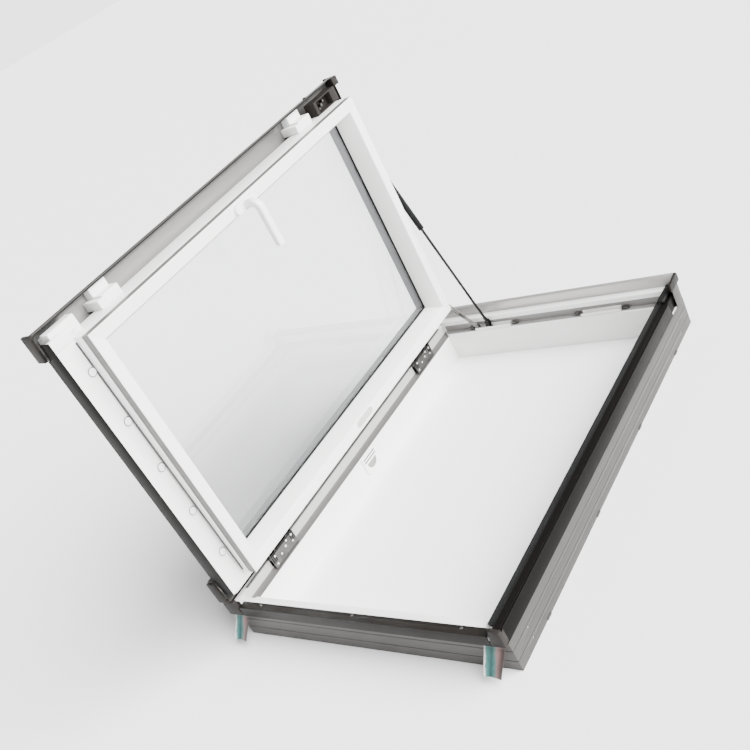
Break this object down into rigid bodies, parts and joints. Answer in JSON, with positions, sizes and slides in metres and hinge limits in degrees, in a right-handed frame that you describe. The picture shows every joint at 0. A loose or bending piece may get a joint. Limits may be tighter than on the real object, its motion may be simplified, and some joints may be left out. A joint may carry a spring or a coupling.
{
  "type": "roof skylight",
  "caption": "Side-hung roof access skylight, sash held wide open by a gas spring, white inside with dark metal cladding outside.",
  "frame": {"origin": "centre of the frame's underside, midway between the four pilot holes there", "axes": "+Z out of the roof, +Y up the roof from sill to head, +X across from the hinge side to the lock side"},
  "size_m": [0.799, 1.2452, 0.9229],
  "materials": {
    "white_paint": "satin white moulded skin",
    "taupe_metal": "matt taupe paint",
    "dark_metal": "matt dark brown paint",
    "light_metal": "mill finish",
    "bright_steel": "bright plated",
    "black_rubber": "matt",
    "clear_glass": "clear",
    "spacer_bar": "satin",
    "taupe_plastic": "matt",
    "white_plastic": "satin",
    "black_metal": "satin black paint",
    "dark_rod": "blackened and polished",
    "foil_fabric": "coated foil strip"
  },
  "bodies": {
    "frame": {"frame_sill": "white_paint", "frame_lock_side": "white_paint", "frame_head": "white_paint", "frame_hinge_side": "white_paint", "skin_sill": "taupe_metal", "skin_lock_side": "taupe_metal", "skin_head": "taupe_metal", "skin_hinge_side": "taupe_metal", "sill_cover": "dark_metal", "sill_screws": "bright_steel", "sill_caps": "taupe_plastic", "head_cover": "light_metal", "head_caps": "taupe_plastic", "lock_side_cover": "dark_metal", "lock_side_strip": "dark_metal", "lock_side_gasket": "black_rubber", "gasket_end": "black_rubber", "hinge_side_seal": "black_rubber", "hinge_side_gutter": "dark_metal", "hinge_frame_leaves": "bright_steel", "hinge_leaf_rivets": "bright_steel", "catch_plate": "white_plastic", "head_rails": "light_metal", "rail_fittings": "bright_steel", "spring_foot": "black_metal", "stay_post": "bright_steel", "side_lugs": "taupe_metal", "foil_tail_lock": "foil_fabric", "foil_tail_hinge": "foil_fabric"},
    "sash": {"sash_sill": "white_paint", "sash_lock_side": "white_paint", "sash_head": "white_paint", "sash_hinge_side": "white_paint", "pane_inner": "clear_glass", "pane_outer": "clear_glass", "pane_spacer": "spacer_bar", "glazing_gasket": "black_rubber", "ring_gasket": "black_rubber", "sash_sill_flange": "white_paint", "flange_plugs": "white_plastic", "sash_corner_blocks": "white_paint", "hood_clips": "white_paint", "hood_lock_side": "taupe_metal", "hood_hinge_side": "taupe_metal", "hood_head": "taupe_metal", "sash_sill_cover": "dark_metal", "hood_sill_caps": "taupe_plastic", "hood_head_caps": "taupe_plastic", "hood_seal": "black_rubber", "hinge_sash_leaves": "bright_steel", "lock_box": "taupe_plastic", "lock_box_bolts": "bright_steel", "spring_stud": "bright_steel", "stay_pin": "bright_steel", "ring_catch_cover": "white_paint", "handle_base": "white_plastic"},
    "handle": {"handle_lever": "white_plastic"},
    "spring_rod": {"spring_rod": "dark_rod"},
    "spring_tube": {"spring_tube": "black_metal"},
    "stay_arm": {"stay_arm": "bright_steel"}
  },
  "joints": [
    {"name": "sash_hinge", "type": "hinge", "parent": "frame", "child": "sash", "pos_m": [-0.36, 0, 0.1635], "axis": [0, 1, 0], "range_deg": [0, 89]},
    {"name": "handle_turn", "type": "hinge", "parent": "sash", "child": "handle", "pos_m": [-0.27504, 0.008, 0.84812], "axis": [-0.9998, 0, 0.0175], "range_deg": [0, 90]},
    {"name": "rod_swing", "type": "hinge", "parent": "frame", "child": "spring_rod", "pos_m": [-0.194, 0.5545, 0.11], "axis": [0, 1, 0], "range_deg": [0, 98.71]},
    {"name": "tube_slide", "type": "slide", "parent": "spring_rod", "child": "spring_tube", "axis": [-0.2055, 0, 0.9787], "range_m": [-0.23117, 0]},
    {"name": "stay_swing", "type": "hinge", "parent": "frame", "child": "stay_arm", "pos_m": [-0.232, 0.55025, 0.1], "axis": [0, 1, 0], "range_deg": [-52.31, 0]}
  ],
  "couplings": [
    {"joint": "rod_swing", "follows": "sash_hinge", "ratio": 1.1089},
    {"joint": "tube_slide", "follows": "sash_hinge", "m_per_rad": -0.14879},
    {"joint": "stay_swing", "follows": "sash_hinge", "ratio": -0.58753}
  ]
}
